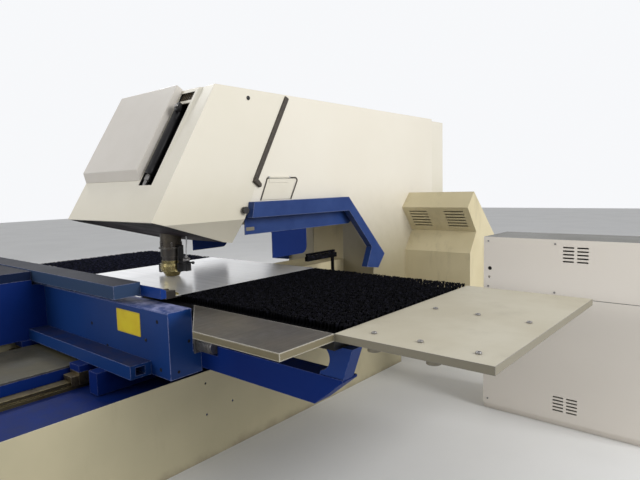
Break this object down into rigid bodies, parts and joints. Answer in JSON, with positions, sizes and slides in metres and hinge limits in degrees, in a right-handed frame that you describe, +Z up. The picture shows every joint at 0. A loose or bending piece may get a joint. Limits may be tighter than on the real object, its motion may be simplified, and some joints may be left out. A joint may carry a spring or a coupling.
{
  "type": "cnc punch press",
  "caption": "Punch press with a C-shaped frame, a leaning hood over one punching head, a coordinate carriage, brush tables, a sheet held by clamps, a vent housing and a control cabinet.",
  "frame": {"origin": "on the floor straight under the punch", "axes": "+X to the machine's right as the operator in front of it sees it, +Y from the front into the throat, +Z up"},
  "size_m": [5.15, 5.34, 2.3025],
  "materials": {
    "cream_paint": "semi-gloss",
    "blue_paint": "worn semi-gloss",
    "deep_blue_paint": "worn semi-gloss",
    "olive_cream_paint": "semi-gloss",
    "pale_cabinet_paint": "gloss",
    "grey_plate_paint": "satin",
    "black_paint": "satin",
    "yellow_paint": "worn",
    "steel": "brushed",
    "dark_steel": "oiled",
    "rail_steel": "oily",
    "sheet_steel": "bright",
    "bronze": "worn",
    "brush_fibre": "matt",
    "black_rubber": "matt",
    "black_plastic": "satin",
    "white_plastic": "matt"
  },
  "bodies": {
    "machine": {"bed": "deep_blue_paint", "cladding": "cream_paint", "middle_block": "deep_blue_paint", "middle_cover": "cream_paint", "y_rails": "rail_steel", "screw_bearings": "dark_steel", "y_motor": "black_paint", "c_frame": "olive_cream_paint", "head_hood": "cream_paint", "head_cover": "cream_paint", "head_liner": "black_paint", "head_cylinder": "black_paint", "hood_joint_strips": "black_rubber", "main_hood": "cream_paint", "rear_hood": "cream_paint", "door_pin": "steel", "throat_arches": "blue_paint", "arm_panels": "blue_paint", "rear_brush": "brush_fibre", "ram_guide": "steel", "head_side_blocks": "black_paint", "oil_pipe": "white_plastic", "die_holder": "dark_steel", "vent_housing": "olive_cream_paint", "cabinet": "pale_cabinet_paint", "cabinet_upper_panel": "pale_cabinet_paint", "cabinet_lower_panel": "pale_cabinet_paint"},
    "carriage": {"carriage_beam": "deep_blue_paint", "hollow_bar": "blue_paint", "guide_shoes": "bronze", "shoe_brackets": "deep_blue_paint", "screw_nut": "bronze", "bare_plate": "yellow_paint", "support_frames": "deep_blue_paint", "table_brackets": "blue_paint", "front_plate": "grey_plate_paint", "table_trays": "black_paint", "brush_right": "brush_fibre", "brush_left": "brush_fibre", "extension_table": "cream_paint", "drive_housing": "deep_blue_paint", "housing_lid": "grey_plate_paint", "x_shoes": "steel", "beam_motor": "steel", "x_motor": "black_paint"},
    "sheet_carrier": {"sheet_rail": "grey_plate_paint", "clamp_rail": "blue_paint", "clamp_bodies": "dark_steel", "tool_cassettes": "dark_steel", "sheet_metal": "sheet_steel"},
    "y_screw_body": {"y_screw": "steel"},
    "x_pinion_body": {"x_pinion": "steel"},
    "tool_spindle_body": {"tool_spindle": "dark_steel", "tool_holder": "bronze"},
    "punch_body": {"punch": "steel"},
    "die_body": {"die": "steel"},
    "jaw_right": {"clamp_jaw_right": "bronze"},
    "jaw_left": {"clamp_jaw_left": "bronze"},
    "door": {"access_door": "cream_paint"},
    "knob": {"hood_knob": "black_plastic"}
  },
  "joints": [
    {"name": "y_slide", "type": "slide", "parent": "machine", "child": "carriage", "axis": [0, 1, 0], "range_m": [-1, 0.25]},
    {"name": "x_slide", "type": "slide", "parent": "carriage", "child": "sheet_carrier", "axis": [1, 0, 0], "range_m": [-0.65, 0.65]},
    {"name": "spindle_turn", "type": "hinge", "parent": "machine", "child": "tool_spindle_body", "pos_m": [0, 0, 1.12], "axis": [0, 0, 1], "continuous": true},
    {"name": "die_turn", "type": "hinge", "parent": "machine", "child": "die_body", "pos_m": [0, 0, 0.93], "axis": [0, 0, 1], "continuous": true},
    {"name": "punch_stroke", "type": "slide", "parent": "tool_spindle_body", "child": "punch_body", "axis": [0, 0, 1], "range_m": [-0.025, 0]},
    {"name": "y_screw_turn", "type": "hinge", "parent": "machine", "child": "y_screw_body", "pos_m": [-0.66, -1, 0.46], "axis": [0, 1, 0], "range_deg": [-9100, 2300]},
    {"name": "pinion_turn", "type": "hinge", "parent": "carriage", "child": "x_pinion_body", "pos_m": [-0.88, -0.7173, 0.947], "axis": [0, 0, 1], "range_deg": [-830, 830]},
    {"name": "jaw_right_open", "type": "hinge", "parent": "sheet_carrier", "child": "jaw_right", "pos_m": [0.61, -0.46, 0.979], "axis": [1, 0, 0], "range_deg": [0, 20]},
    {"name": "jaw_left_open", "type": "hinge", "parent": "sheet_carrier", "child": "jaw_left", "pos_m": [-0.45, -0.46, 0.979], "axis": [1, 0, 0], "range_deg": [0, 20]},
    {"name": "door_swing", "type": "hinge", "parent": "machine", "child": "door", "pos_m": [0.547, 0.59, 1.656], "axis": [0, -1, 0], "range_deg": [0, 85]},
    {"name": "knob_turn", "type": "hinge", "parent": "machine", "child": "knob", "pos_m": [0.54, 0.232, 1.43], "axis": [1, 0, 0], "range_deg": [0, 90]}
  ],
  "couplings": [
    {"joint": "die_turn", "follows": "spindle_turn", "ratio": 1},
    {"joint": "y_screw_turn", "follows": "y_slide", "rad_per_m": 157.08},
    {"joint": "pinion_turn", "follows": "x_slide", "rad_per_m": -22.222},
    {"joint": "jaw_left_open", "follows": "jaw_right_open", "ratio": 1}
  ]
}
